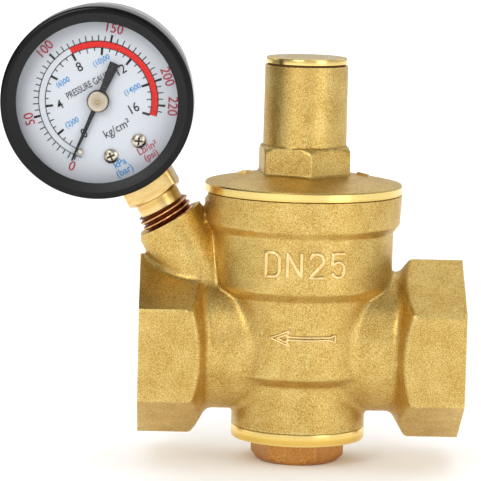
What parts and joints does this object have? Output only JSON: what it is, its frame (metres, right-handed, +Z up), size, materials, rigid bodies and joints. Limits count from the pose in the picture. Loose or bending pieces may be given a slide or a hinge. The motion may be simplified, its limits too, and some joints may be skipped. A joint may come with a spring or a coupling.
{
  "type": "water pressure regulator",
  "caption": "Direct-acting water pressure regulator with hexagon threaded sockets, a spring-loaded piston in a stepped cast barrel, a screw cap and an angled dial pressure gauge.",
  "frame": {"origin": "where the pipe axis crosses the vertical axis of the spindle", "axes": "+X along the pipe axis to the inlet socket, +Z up the spindle to the cap, -Y to the front, the side of the dial and the flow arrow"},
  "size_m": [0.1218, 0.052, 0.12],
  "materials": {
    "cast_brass": "sand-blasted casting",
    "turned_brass": "bright turned",
    "dark_brass": "blasted, darker",
    "bourdon_bronze": "drawn tube",
    "spring_steel": "drawn wire",
    "stainless_steel": "turned",
    "chrome": "plated",
    "black_paint": "gloss black",
    "rubber": "moulded",
    "fibre": "pressed fibre",
    "dial_white": "matt white enamel with print",
    "lens_clear": "clear"
  },
  "bodies": {
    "valve": {"body": "cast_brass", "bonnet": "cast_brass", "bonnet_o_ring": "rubber", "bottom_plug": "dark_brass", "bottom_plug_o_ring": "rubber", "main_spring": "spring_steel", "gauge_socket": "turned_brass", "gauge_case": "chrome", "gauge_bezel": "black_paint", "gauge_lens": "lens_clear", "lens_gasket": "rubber", "dial_plate": "dial_white", "dial_screw_1": "stainless_steel", "dial_screw_2": "stainless_steel", "stop_pin": "turned_brass", "bourdon_tube": "bourdon_bronze", "movement_front_plate": "turned_brass", "movement_back_plate": "turned_brass", "movement_pillar_1": "turned_brass", "movement_pillar_2": "turned_brass", "movement_screw_1": "stainless_steel", "movement_screw_2": "stainless_steel", "movement_screw_3": "stainless_steel", "movement_screw_4": "stainless_steel", "hairspring": "spring_steel"},
    "piston": {"piston": "turned_brass", "piston_o_ring": "rubber", "valve_disc_holder": "turned_brass", "valve_disc_seal": "rubber", "disc_nut": "turned_brass"},
    "spring_seat": {"upper_spring_seat": "turned_brass"},
    "adjuster": {"adjusting_screw": "turned_brass"},
    "cap_travel": {"cap_washer": "fibre"},
    "cap": {"top_cap": "turned_brass"},
    "pointer": {"pointer": "black_paint", "pointer_hub": "stainless_steel", "pinion_arbor": "stainless_steel"},
    "sector": {"sector_gear": "turned_brass"},
    "link": {"link_rod": "turned_brass"},
    "tube_end": {"tube_tip": "bourdon_bronze"}
  },
  "joints": [
    {"name": "piston_lift", "type": "slide", "parent": "valve", "child": "piston", "axis": [0, 0, 1], "range_m": [0, 0.0035], "stiffness_N_per_m": 8000, "springref_m": -0.002, "deforming": ["main_spring"]},
    {"name": "spring_seat_travel", "type": "slide", "parent": "valve", "child": "spring_seat", "axis": [0, 0, 1], "range_m": [-0.006, 0.0015], "deforming": ["main_spring"]},
    {"name": "adjuster_turn", "type": "hinge", "parent": "spring_seat", "child": "adjuster", "pos_m": [0, 0, 0.065], "axis": [0, 0, 1], "range_deg": [-1440.1, 360.1]},
    {"name": "cap_rise", "type": "slide", "parent": "valve", "child": "cap_travel", "axis": [0, 0, 1], "range_m": [0, 0.0045]},
    {"name": "cap_turn", "type": "hinge", "parent": "cap_travel", "child": "cap", "pos_m": [0, 0, 0.074], "axis": [0, 0, 1], "range_deg": [0, 1080.1]},
    {"name": "tube_end_travel", "type": "slide", "parent": "valve", "child": "tube_end", "axis": [-0.1758, -0.0179, 0.9843], "range_m": [0, 0.00241], "stiffness_N_per_m": 400},
    {"name": "sector_turn", "type": "hinge", "parent": "valve", "child": "sector", "pos_m": [-0.04017, -0.00046, 0.05927], "axis": [-0.0453, -0.9986, -0.0262], "range_deg": [0, 27.6]},
    {"name": "pointer_turn", "type": "hinge", "parent": "valve", "child": "pointer", "pos_m": [-0.0537, 0, 0.065], "axis": [0.0453, 0.9986, 0.0262], "range_deg": [0, 262.1]},
    {"name": "link_swing", "type": "hinge", "parent": "sector", "child": "link", "pos_m": [-0.03518, -0.00068, 0.05895], "axis": [-0.0453, -0.9986, -0.0262], "range_deg": [-27.6, 0]}
  ],
  "couplings": [
    {"joint": "adjuster_turn", "follows": "spring_seat_travel", "rad_per_m": 4188.8},
    {"joint": "cap_turn", "follows": "cap_rise", "rad_per_m": 4188.8},
    {"joint": "sector_turn", "follows": "tube_end_travel", "rad_per_m": 200},
    {"joint": "pointer_turn", "follows": "tube_end_travel", "rad_per_m": 1900},
    {"joint": "link_swing", "follows": "tube_end_travel", "rad_per_m": -200}
  ]
}
